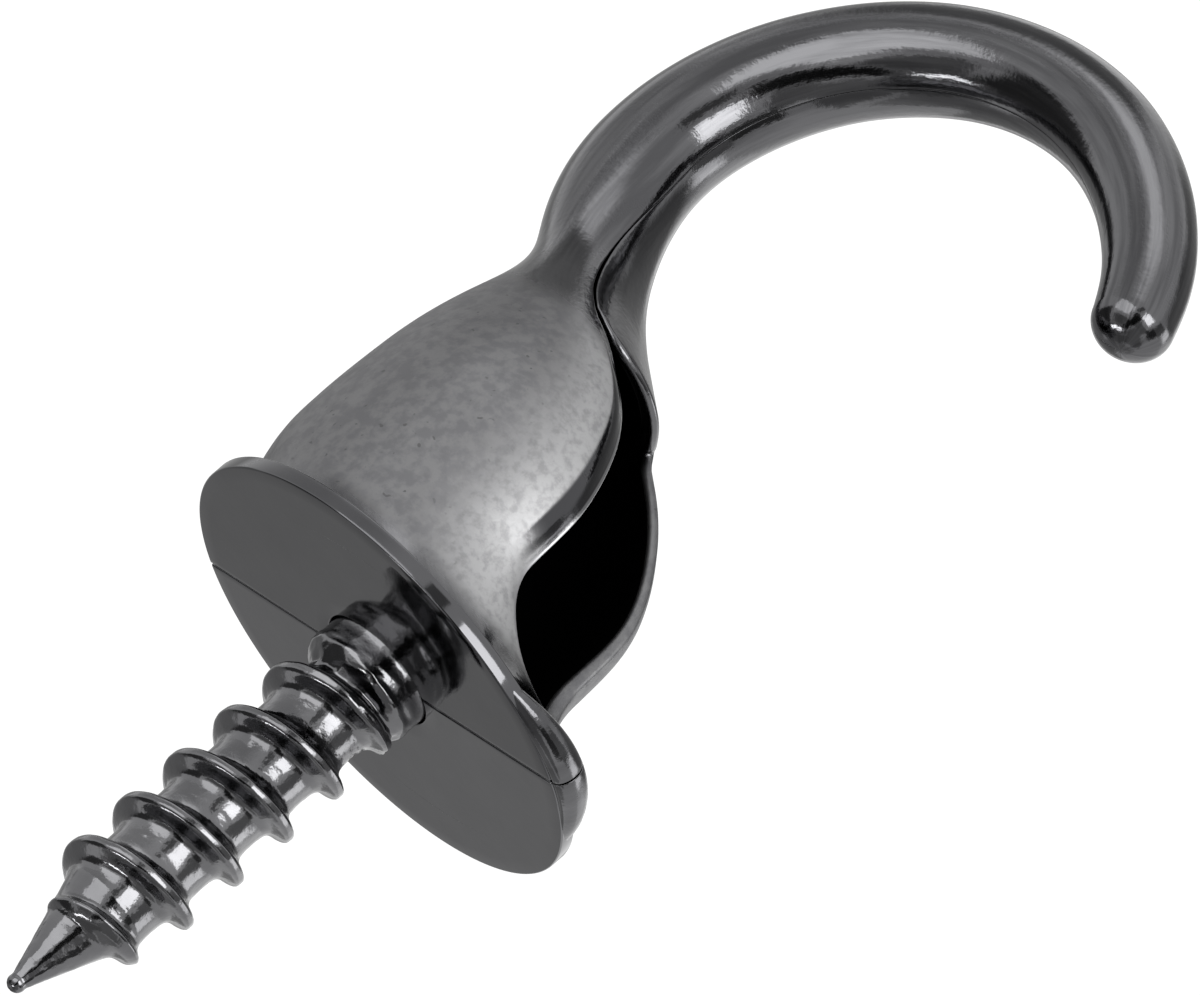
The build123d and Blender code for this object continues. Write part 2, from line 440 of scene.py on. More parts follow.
    def foot_row(self, rise: float) -> list[float]:
        """Cross-section of the feet.

        Args:
            rise: Place from 0 at the waist to 1 at the rim.

        Returns:
            Back and mouth, each as x and drop, and the width.
        """
        waist_mouth = self.belly_depth - self.spine_offset
        open_share = math.sqrt(max(0.0, 1 - rise**2))
        drop = self.waist_drop - (self.waist_drop - self.rim_depth) * rise
        back = -self.spine_offset + (self.spine_offset - self.foot_spine_offset) * rise**2
        mouth = self.foot_reach - (self.foot_reach - waist_mouth) * open_share
        width = self.belly_width + (self.foot_width - self.belly_width) * rise**2
        return [back, drop, mouth, drop, width]

    def edged_foot_row(self, rise: float) -> list[float]:
        """Cross-section of the feet with the cut edges of the opening.

        Args:
            rise: Place from 0 at the waist to 1 at the rim.

        Returns:
            The section, then the offsets of the front and rear cut edges.
        """
        open_share = math.sqrt(max(0.0, 1 - rise**2))
        gap = self.seam_gap / 2
        front = max(self.slot_front * open_share, gap)
        rear = max(self.slot_rear * open_share, gap)
        return [*self.foot_row(rise), front, -rear]

    def rear_margin(self, seam: float) -> tuple[np.ndarray, np.ndarray]:
        """Rear leaf's cut edge where it turns across the top of the opening.

        Args:
            seam: Offset of the seam from the middle plane at the top of the opening.

        Returns:
            Height over the top of the opening and offset from the middle plane.
        """
        lean = math.radians(self.slot_slope)
        bend = (math.pi / 2 - lean) * self.slot_corner
        run = (seam + self.slot_rear - 2 * self.slot_corner) / math.cos(lean)
        path = np.linspace(0, 2 * bend + run, self.margin_samples)
        heading = math.pi / 2 - (math.pi / 2 - lean) * (
            np.clip(path / bend, 0, 1) - np.clip((path - bend - run) / bend, 0, 1)
        )
        step = path[1]
        height = np.concatenate([[0], np.cumsum(np.sin(heading[1:])) * step])
        offset = np.concatenate([[0], np.cumsum(np.cos(heading[1:])) * step])
        return height, offset - self.slot_rear

    def guide(self) -> tuple[np.ndarray, np.ndarray, float]:
        """Few cross-sections that the whole sheet from the feet to the tip runs through.

        Returns:
            Their places along the sheet from the waist, the sections, and the neck's place.
        """
        shares = [i / self.tube_rows for i in range(self.tube_rows)]
        shares += [1 - 1 / (3 * self.tube_rows), 1]
        feet = [self.foot_row(rise) for rise in self.foot_guides]
        bell = [self.bell_row(share) for share in self.bell_shares]
        rows = np.array(feet + bell + [self.tube_row(share) for share in shares])
        middle = (rows[:, 0:2] + rows[:, 2:4]) / 2
        steps = np.linalg.norm(np.diff(middle, axis=0), axis=1)
        knots = np.concatenate([[0], np.cumsum(steps)]) + self.knot_ease * np.arange(len(rows))
        knots -= knots[len(feet) - 1]
        return knots, rows, knots[len(feet) + len(bell)]

    def upper_rows(self) -> tuple[np.ndarray, np.ndarray]:
        """Sections from the waist to the end of the roll, even along the rear cut edge.

        Returns:
            Height of each over the waist, and the sections with both cut edges.
        """
        knots, guide, neck = self.guide()
        height = np.linspace(0, knots[-1], self.samples)
        fine = curve_through(knots, guide, height)
        reach = round(3 * self.neck_softness / height[1])
        weights = np.exp(-((np.arange(-reach, reach + 1) / reach * 3) ** 2) / 2)
        weights /= weights.sum()
        soft = np.stack([np.convolve(column, weights, "same") for column in fine.T], axis=1)
        fine += (soft - fine) * np.exp(-(((height - neck) / self.neck_reach) ** 2))[:, None]

        past = height - self.slot_height
        seam_turn = self.seam_turn - self.seam_swing * smooth_step(past, *self.swing_span)
        seam_turn -= self.seam_dip * (1 - smooth_step(past, *self.dip_span))
        seam = fine[:, 4] / 2 * np.sin(np.radians(seam_turn))
        part = np.clip(height / (self.slot_height + self.slot_draw_over), 0, 1)
        drawn = np.sin(math.pi * part**self.slot_draw_power) ** 2
        slot = self.slot_front - self.slot_draw * drawn
        front = slot + (seam - slot) * smooth_step(past, *self.close_span)
        over, offset = self.rear_margin(float(np.interp(self.top_height, past, front)))
        gap = self.seam_gap + (self.hook_gap - self.seam_gap) * smooth_step(past, *self.gap_span)
        rear = np.where(past > over[-1], front - gap, np.interp(past, over, offset))
        rear = np.minimum(rear, front - gap)

        length = np.cumsum(np.hypot(np.gradient(height), np.gradient(rear)))
        count = round(length[-1] / self.row_step)
        placed = np.interp(np.linspace(length[0], length[-1], count), length, height)
        columns = [np.interp(placed, height, column) for column in (*fine.T, front, rear)]
        return placed, np.column_stack(columns)

    def dome(self, last: np.ndarray) -> list[np.ndarray]:
        """Sections that close the round end of the hook.

        Args:
            last: The last full section.

        Returns:
            Smaller and smaller sections, down to the pole.
        """
        lean = math.radians(self.tip_angle)
        ahead = np.array([math.sin(lean), -math.cos(lean)])
        dome = []
        for turn in np.linspace(0, math.pi / 2, self.dome_rows + 1)[1:]:
            row = last.copy()
            centre = (row[0:2] + row[2:4]) / 2 + ahead * self.dome_length * math.sin(turn)
            half = (row[0:2] - row[2:4]) / 2 * math.cos(turn)
            row[0:2], row[2:4] = centre + half, centre - half
            row[4:] *= math.cos(turn)
            dome.append(row)
        return dome

    def rows(self) -> Rows:
        """Lists every cross-section.

        Returns:
            The rows, from the inside of the folded rim to the tip's pole.
        """
        fold = self.fold_rows
        foot = np.sin(np.radians(np.linspace(90, 3, self.foot_rows)))
        placed, upper = self.upper_rows()
        lower = [self.edged_foot_row(rise) for rise in (*[1.0] * fold, *foot)]
        table = np.array([*lower, *upper, *self.dome(upper[-1])])
        size, low = len(table), len(lower)
        rise = np.zeros(size)
        rise[:low] = [*[1.0] * fold, *foot]
        turn = np.full(size, math.pi / 2)
        turn[:fold] = np.radians(np.linspace(*self.fold_turns, fold))
        centre = (table[:, 0:2] + table[:, 2:4]) / 2
        steps = np.linalg.norm(np.diff(centre, axis=0), axis=1)
        along = np.concatenate([[0], np.cumsum(steps)])
        wall = np.full(size, self.sheet)
        rim_wall = self.rim_walls[1]
        wall[:fold] = np.linspace(*self.rim_walls, fold)
        full_wall = smooth_step(1 - foot, *self.wall_span)
        wall[fold:low] = rim_wall + (self.sheet - rim_wall) * full_wall
        wall = np.minimum(wall, self.wall_limit * table[:, 4])
        gap = table[:, 5] - table[:, 6]
        edge = self.edge_share * gap
        edge += (self.slot_edge - edge) * smooth_step(gap, *self.edge_span)
        edge = np.minimum(edge, self.edge_share * wall)
        far = 2 * self.bowl_drop
        above = np.full(size, -far)
        above[low : low + len(placed)] = placed - self.slot_height
        above[low + len(placed) :] = far
        ends = (table[:, 0:2], table[:, 2:4])
        return Rows(*ends, *table[:, 4:].T, rise, turn, wall, edge, along, above)

    def rim_reach(self, landing: np.ndarray, outward: np.ndarray) -> np.ndarray:
        """Plan distance from the landing line out to the rim's outline.

        Args:
            landing: Points on the line where the leaves land on the rim.
            outward: Direction in which the fold leaves each of them.

        Returns:
            Millimetres, by row and column.
        """
        reaches = []
        for middle, radius in (
            (self.fold_middle, self.fold_radius),
            (self.plate_offset, self.plate_radius),
        ):
            start = landing - np.array([middle, 0.0])
            lean = (start * outward).sum(-1)
            inside = lean**2 - (start**2).sum(-1) + radius**2
            reaches.append(-lean + np.sqrt(np.maximum(inside, 0.0)))
        in_fold = np.abs(landing[..., 1]) < self.fold_side
        return np.where(in_fold, np.maximum(*reaches), reaches[1])

    def skin(self, rows: Rows, shares: np.ndarray) -> np.ndarray:
        """Outer skin of the sheet.

        Args:
            rows: The cross-sections.
            shares: Place round each row: -1 at the rear cut edge, 0 at the closed back,
                1 at the front cut edge.

        Returns:
            Points by row and column.
        """

        def around(width: np.ndarray, front: np.ndarray, rear: np.ndarray) -> np.ndarray:
            """Angle round a section, from the mouth towards the front leaf.

            Args:
                width: Width of each section.
                front: Offset of its front cut edge.
                rear: Offset of its rear cut edge.

            Returns:
                Radians, by row and column.
            """
            limit = self.edge_limit
            half = np.maximum(width, 1e-6) / 2
            ends = [
                np.arcsin(np.clip(end / half, -limit, limit))[:, None] for end in (front, rear)
            ]
            return np.where(
                shares >= 0,
                math.pi - shares * (math.pi - ends[0]),
                -math.pi - shares * (math.pi + ends[1]),
            )

        angle = around(rows.width, rows.front, rows.rear)
        middle = rows.middle
        across = (rows.mouth - rows.back) / 2
        x = middle[:, :1] + across[:, :1] * np.cos(angle)
        drop = middle[:, 1:] + across[:, 1:] * np.cos(angle)
        y = rows.width[:, None] / 2 * np.sin(angle)

        # The line on which the leaves land on the rim, in plan.
        last = self.foot_row(1.0)
        half_run = (last[2] - last[0]) / 2
        half_width = self.foot_width / 2
        gap = np.full(len(rows.width), self.seam_gap / 2)
        bottom = around(np.full(len(rows.width), self.foot_width), gap, -gap)
        plan_x = (last[2] + last[0]) / 2 + half_run * np.cos(bottom)
        plan = np.stack([plan_x, half_width * np.sin(bottom)], axis=-1)
        side = np.abs(plan[..., 1])
        ahead = plan[..., 0] > 0
        arch = self.rim_depth - side**2 / (2 * self.fold_arch_radius)
        landing = np.maximum(np.where(ahead, arch, 0.0), self.side_landing)
        foot_drop = self.waist_drop - (self.waist_drop - landing) * rows.rise[:, None]
        drop = np.where((rows.rise > 0)[:, None], foot_drop, drop)

        # The fold rolls outwards from that line to the rim's outline and under.
        outward = unit(np.stack([np.cos(bottom) / half_run, np.sin(bottom) / half_width], axis=-1))
        share = smooth_step(self.fold_side + self.fold_overrun - side, 0.0, self.fold_fade) * ahead
        reach = self.rim_reach(plan, outward) * share + self.side_reach * (1 - share)
        turn = rows.turn[:, None]
        rolled = (rows.turn < math.pi / 2 - 1e-6)[:, None]
        x = np.where(rolled, plan[..., 0] + outward[..., 0] * reach * np.cos(turn), x)
        y = np.where(rolled, plan[..., 1] + outward[..., 1] * reach * np.cos(turn), y)
        depth = self.rim_lift + (landing - self.rim_lift) / 2 * (1 + np.sin(turn))
        drop = np.where(rolled, depth, drop)
        return np.stack([x, y, -drop], axis=-1)

    def outward(self, rows: Rows, shares: np.ndarray) -> np.ndarray:
        """Outward direction of the outer skin.

        Args:
            rows: The cross-sections.
            shares: Place round each row, as for the skin.

        Returns:
            Unit vectors by row and column.
        """
        step = self.probe
        points = self.skin(rows, shares)
        around = self.skin(rows, shares + step) - self.skin(rows, shares - step)
        up = np.gradient(points, axis=0)
        normal = unit(np.cross(up, around))
        inside = np.zeros_like(points)
        inside[..., 0] = rows.middle[:, :1]
        inside[..., 2] = -rows.middle[:, 1:]
        normal = normal * np.sign(np.median(((points - inside) * normal).sum(-1)))
        lean = math.radians(self.tip_angle)
        normal[-1] = (math.sin(lean), 0.0, -math.cos(lean))
        return normal

    def shaping(self, rows: Rows, shares: np.ndarray, half_length: np.ndarray) -> np.ndarray:
        """How far the press leaves the skin off its smooth form.

        Args:
            rows: The cross-sections.
            shares: Place round each row.
            half_length: Length of each row from the closed back to a cut edge.

        Returns:
            Millimetres outwards, by row and column.
        """
        over = rows.above_slot[:, None]
        beside = (1 - np.abs(shares)) * half_length[:, None]
        in_leaf = smooth_step(rows.along, *self.curl_span)[:, None]
        in_leaf = in_leaf * smooth_step(-over, *self.curl_end)
        curl = (1 - smooth_step(beside, 0.0, self.curl_width)) ** self.curl_power
        form = -self.margin_curl * curl * in_leaf * np.where(shares > 0, 1.0, self.rear_curl)
        corner = np.exp(-(((over - self.bump_height) / self.bump_reach) ** 2))
        corner *= smooth_step(over, *self.bump_start)
        corner_side = np.maximum(rows.rear[:, None] + self.slot_rear, 0)
        at_rear = np.exp(-(((beside - corner_side) / self.bump_width) ** 2))
        return form + self.corner_bump * corner * at_rear * (shares < 0)

    def mesh(self) -> bmesh.types.BMesh:
        """Lays the sheet, both skins and the rounded cut edges, as one closed shell.

        Returns:
            The mesh in millimetres.
        """
        rows = self.rows()
        size = len(rows.width)
        line = self.skin(rows, np.tile(np.linspace(0, 1, self.width_samples), (size, 1)))
        half_length = np.linalg.norm(np.diff(line, axis=1), axis=2).sum(1)
        inset = rows.edge / np.maximum(half_length, 1e-6)
        places = np.linspace(-1, 1, self.columns + 1)
        places = np.sign(places) * (1 - (1 - np.abs(places)) ** self.column_power)
        shares = places[None, :] * (1 - np.minimum(inset, self.edge_share))[:, None]
        outer = self.skin(rows, shares)
        normal = self.outward(rows, shares)
        to_tip = rows.along[-1] - rows.along
        wave = sum(height * waviness(outer, scale, seed) for height, scale, seed in self.swells)
        ends = smooth_step(rows.along, *self.swell_span) * smooth_step(to_tip, *self.swell_end)
        wave *= ends[:, None]
        outer = outer + normal * (wave + self.shaping(rows, shares, half_length))[..., None]
        thin = self.margin_thinning * smooth_step(rows.along, *self.thin_span)
        thin *= smooth_step(-rows.above_slot, *self.thin_end)
        wall = rows.wall[:, None] - thin[:, None] * np.abs(shares) ** self.thin_power
        inner = outer - normal * wall[..., None]

        def cut_edge(column: int, beside: int) -> np.ndarray:
            """Rounded cut edge, from the outer skin to the inner one.

            Args:
                column: Column that the edge stands beside.
                beside: Next column, away from the edge.

            Returns:
                Points by row, and by step across the edge.
            """
            near = outer[:, column]
            facing = normal[:, column]
            away = unit(np.cross(facing, np.gradient(near, axis=0)))
            away = away * np.sign((away * (near - outer[:, beside])).sum(-1))[:, None]
            radius = rows.edge[:, None]
            depth = wall[:, column][:, None]
            arc = [math.radians(turn) for turn in self.edge_turns]
            dips = [radius * (1 - math.cos(a)) for a in arc]
            dips += [depth - dip for dip in dips[::-1]]
            points = [
                near + away * radius * math.sin(a) - facing * dip
                for a, dip in zip(arc + arc[::-1], dips)
            ]
            return np.stack(points, axis=1)

        def ring(
            first: np.ndarray, front: np.ndarray, second: np.ndarray, rear: np.ndarray
        ) -> np.ndarray:
            """Every row's way round: one skin, the front edge, the other skin, the rear edge."""
            return np.concatenate([first, front, second[:, ::-1], rear, first[:, :1]], axis=1)

        front, rear = cut_edge(-1, -2), cut_edge(0, 1)
        loop = ring(outer, front, inner, rear[:, ::-1])
        mirror = ring(inner, front[:, ::-1], outer, rear)
        closing = (loop[:1] + mirror[:1]) / 2
        loop[-1] = loop[-1].mean(axis=0)
        points = np.concatenate([closing, loop], axis=0)
        edge_columns = front.shape[1]
        around = np.concatenate(
            [
                places,
                np.full(edge_columns, 1.0),
                places[::-1] + INNER_MAP,
                np.full(edge_columns, -1.0),
                places[:1],
            ]
        )
        along = np.concatenate([[0], rows.along]) / self.map_length
        uvs = np.stack(np.broadcast_arrays(around[None, :], along[:, None]), axis=-1)
        return pressed_blank(points, uvs)

    def build(self, material: bpy.types.Material) -> bpy.types.Object:
        """Makes the piece and dresses it."""
        return hand_over(self.mesh(), "bell_and_hook", material, "hook_body")


@dataclass
class PlateFlap:
    """Half of the mounting plate, folded in under the bell."""

    name: str
    side: Side
    radius: float = 8.34
    offset: float = 0.12
    thickness: float = 0.6
    hole_radius: float = 2.2
    seam_gap: float = 0.08
    edge: float = 0.12
    edge_segments: int = 4
    sharp_angle: float = 1.0
    lean: float = 0.3
    rings: int = 10
    steps: int = 96

    def mesh(self) -> bmesh.types.BMesh:
        """Spins half a disc, rounds its edges and leans it a little.

        Returns:
            The mesh in millimetres.
        """
        bm = bmesh.new()
        width = self.radius - self.hole_radius
        bmesh.ops.create_grid(bm, x_segments=self.rings, y_segments=1, size=0.5)
        bmesh.ops.rotate(bm, verts=bm.verts, matrix=Matrix.Rotation(math.pi / 2, 3, "X"))
        bmesh.ops.translate(bm, verts=bm.verts, vec=(0.5, 0, -0.5))
        bmesh.ops.scale(bm, verts=bm.verts, vec=(width, 1, self.thickness))
        bmesh.ops.translate(bm, verts=bm.verts, vec=(self.hole_radius, 0, 0))
        bmesh.ops.spin(
            bm,
            geom=bm.verts[:] + bm.edges[:] + bm.faces[:],
            cent=(0, 0, 0),
            axis=(0, 0, 1),
            angle=math.pi * self.side.value,
            steps=self.steps,
            use_merge=False,
            use_duplicate=False,
        )
        bmesh.ops.remove_doubles(bm, verts=bm.verts, dist=1e-4)
        bmesh.ops.recalc_face_normals(bm, faces=bm.faces)
        folded = [edge for edge in bm.edges if len(edge.link_faces) == 2]
        bmesh.ops.bevel(
            bm,
            geom=[edge for edge in folded if edge.calc_face_angle() > self.sharp_angle],
            offset=self.edge,
            offset_type="OFFSET",
            segments=self.edge_segments,
            profile=0.5,
            affect="EDGES",
            clamp_overlap=True,
            material=-1,
        )
        for vert in bm.verts:
            share = max(0.0, (math.hypot(vert.co.x, vert.co.y) - self.hole_radius) / width)
            vert.co.x += self.offset * share
            vert.co.y += self.side.value * self.seam_gap / 2
            vert.co.z -= abs(vert.co.y) * math.sin(math.radians(self.lean))
        return bm

    def build(self, material: bpy.types.Material) -> bpy.types.Object:
        """Makes the piece and dresses it."""
        return hand_over(self.mesh(), self.name, material, "hook_body")


@dataclass
class WoodScrew:
    """Captive wood screw: head inside the bell, shank through the plate, thread and point."""

    pitch: float = 2.25
    thread_radius: float = 2.3
    thread_start: float = 0.6
    thread_foot: float = 0.3
    run_in: float = 1.4
    run_out: float = 1.6
    run_out_past: float = 0.6
    crest_half: float = 0.31
    crest_power: float = 4.2
    helix_foot: float = -1.6
    core_radius: float = 1.6
    shank_radius: float = 2.15
    shank_top: float = 0.9
    shoulder: float = 0.7
    length: float = 16.5
    point_length: float = 4.2
    ball_radius: float = 0.33
    ball_neck: float = 0.85
    head_radius: float = 3.7
    head_height: float = 1.9
    head_top: float = -0.65
    # Rounding of the head's lower edge: steps inwards from its side and up from its foot.
    head_round: tuple[tuple[float, float], ...] = ((0.5, 0.0), (0.12, 0.2), (0.0, 0.6))
    # Lumps of the rolled thread, with burrs where it starts beside the plate.
    lump_depth: float = 0.014
    burr_depth: float = 0.1
    burr_height: float = 1.4
    burr_reach: float = 1.3
    lump_density: float = 2.2
    fine_lump_density: float = 5.5
    fine_lump_share: float = 0.5
    lump_fade: float = 0.5
    steps: int = 96
    step: float = 0.05
    merge: float = 0.01

    def plain_radius(self, height: float) -> float:
        """Radius of the screw without its thread.

        Args:
            height: Above the mounting face.

        Returns:
            Millimetres.
        """
        cone_foot = self.length - self.point_length
        ball_height = self.length - self.ball_radius
        taper = self.core_radius - self.ball_radius * self.ball_neck
        cone = self.core_radius - taper * max(0.0, height - cone_foot) / (ball_height - cone_foot)
        ball = math.sqrt(max(0.0, self.ball_radius**2 - (height - ball_height) ** 2))
        if height >= ball_height:
            return ball
        body = max(cone, ball if height > ball_height - self.ball_radius else 0.0)
        neck = self.shank_radius - self.core_radius
        ease = min(1.0, max(0.0, (height - self.shank_top) / self.shoulder))
        return body + neck * (1 - ease * ease * (3 - 2 * ease))

    def ridge(self, height: float, turn: float) -> float:
        """Height of the thread over the plain screw.

        Args:
            height: Above the mounting face.
            turn: Angle about the axis, in radians.

        Returns:
            Millimetres to add to the plain radius.
        """
        phase = (height - self.helix_foot) / self.pitch - (turn - math.pi) / (2 * math.pi)
        away = (phase - round(phase)) * self.pitch
        shape = 1 / (1 + (abs(away) / self.crest_half) ** self.crest_power)
        end = self.length - self.point_length + self.run_out / 2
        rise = min(1.0, max(0.0, (height - self.thread_start) / self.run_in))
        fall = min(1.0, max(0.0, (end + self.run_out_past - height) / self.run_out))
        full = self.thread_radius - self.plain_radius(min(height, end - self.run_out))
        return max(0.0, full) * shape * math.sqrt(rise) * math.sqrt(fall)

    def lump(self, height: float, turn: float) -> float:
        """Unevenness of the surface, which fades out into the shank.

        Args:
            height: Above the mounting face.
            turn: Angle about the axis, in radians.

        Returns:
            Millimetres to add to the radius.
        """
        place = Vector((math.cos(turn), math.sin(turn), height))
        burrs = max(0.0, 1 - abs(height - self.burr_height) / self.burr_reach)
        depth = self.lump_depth + self.burr_depth * burrs
        lumps = noise.noise(place * self.lump_density)
        lumps += self.fine_lump_share * noise.noise(place * self.fine_lump_density)
        return depth * lumps * min(1.0, (height - self.thread_foot) / self.lump_fade)

    def threaded_length(self) -> bmesh.types.BMesh:
        """Spins a straight line as a helix and gives every point of it its radius.

        Returns:
            The mesh in millimetres, from the foot of the thread to the point.
        """
        bm = bmesh.new()
        low, high = self.thread_foot - self.pitch, self.length + self.step
        line = bm.edges.new([bm.verts.new((1, 0, height)) for height in (low, high)])
        bmesh.ops.subdivide_edges(bm, edges=[line], cuts=round((high - low) / self.step) - 1)
        bmesh.ops.spin(
            bm,
            geom=bm.verts[:] + bm.edges[:],
            cent=(0, 0, 0),
            axis=(0, 0, 1),
            dvec=(0, 0, self.pitch / self.steps),
            angle=2 * math.pi,
            steps=self.steps,
            use_merge=False,
            use_duplicate=False,
        )
        bmesh.ops.remove_doubles(bm, verts=bm.verts, dist=self.merge)
        for vert in bm.verts:
            turn = math.atan2(vert.co.y, vert.co.x) % (2 * math.pi)
            height = min(max(vert.co.z, self.thread_foot), self.length)
            radius = self.plain_radius(height) + self.ridge(height, turn)
            radius += self.lump(height, turn)
            radius = max(radius, 0.0) if height < self.length else 0.0
            vert.co = (math.cos(turn) * radius, math.sin(turn) * radius, height)
        return bm

    def head_and_shank(self) -> bpy.types.Mesh:
        """Spins the outline of the head and the plain shank.

        Returns:
            The mesh in millimetres, open where the thread starts.
        """
        bm = bmesh.new()
        foot = self.head_top - self.head_height
        outline = [(0.0, foot)]
        outline += [(self.head_radius - inwards, foot + up) for inwards, up in self.head_round]
        outline += [
            (self.head_radius, self.head_top),
            (self.shank_radius, self.head_top),
            (self.shank_radius, self.thread_foot),
        ]
        points = [bm.verts.new((radius, 0, height)) for radius, height in outline]
        for pair in zip(points, points[1:]):
            bm.edges.new(pair)
        bmesh.ops.spin(
            bm,
            geom=bm.verts[:] + bm.edges[:],
            cent=(0, 0, 0),
            axis=(0, 0, 1),
            angle=2 * math.pi,
            steps=self.steps,
            use_merge=True,
            use_duplicate=False,
        )
        mesh = bpy.data.meshes.new("head_and_shank")
        bm.to_mesh(mesh)
        bm.free()
        return mesh

    def mesh(self) -> bmesh.types.BMesh:
        """Joins the threaded length to the head and shank.

        Returns:
            The mesh in millimetres.
        """
        bm = self.threaded_length()
        head = self.head_and_shank()
        bm.from_mesh(head)
        bpy.data.meshes.remove(head)
        bmesh.ops.remove_doubles(bm, verts=bm.verts, dist=self.merge)
        return bm

    def build(self, material: bpy.types.Material) -> bpy.types.Object:
        """Makes the piece and dresses it."""
        return hand_over(self.mesh(), "threaded_screw", material, "wood_screw")


def add_node(
    tree: bpy.types.NodeTree, kind: str, settings: dict | None = None, **inputs: object
) -> bpy.types.Node:
    """Adds a shader node.

    Args:
        tree: Node tree to add to.
        kind: Type of the node.
        settings: Properties of the node itself.
        **inputs: Socket values or the output sockets to link, by the socket's name with
            underscores for blanks, or by its number after an "n".

    Returns:
        The new node.
    """
    node = tree.nodes.new(kind)
    for key, value in (settings or {}).items():
        setattr(node, key, value)
    for key, value in inputs.items():
        if key[0] == "n" and key[1:].isdigit():
            socket = node.inputs[int(key[1:])]
        else:
            socket = node.inputs[key.replace("_", " ")]
        if isinstance(value, bpy.types.NodeSocket):
            tree.links.new(value, socket)
        else:
            socket.default_value = value
    return node


def bare_material(name: str) -> bpy.types.Material:
    """Makes a material whose node tree is empty.

    Args:
        name: Name of the material.

    Returns:
        The material.
    """
    material = bpy.data.materials.new(name)
    material.use_nodes = True
    material.node_tree.nodes.clear()
    return material


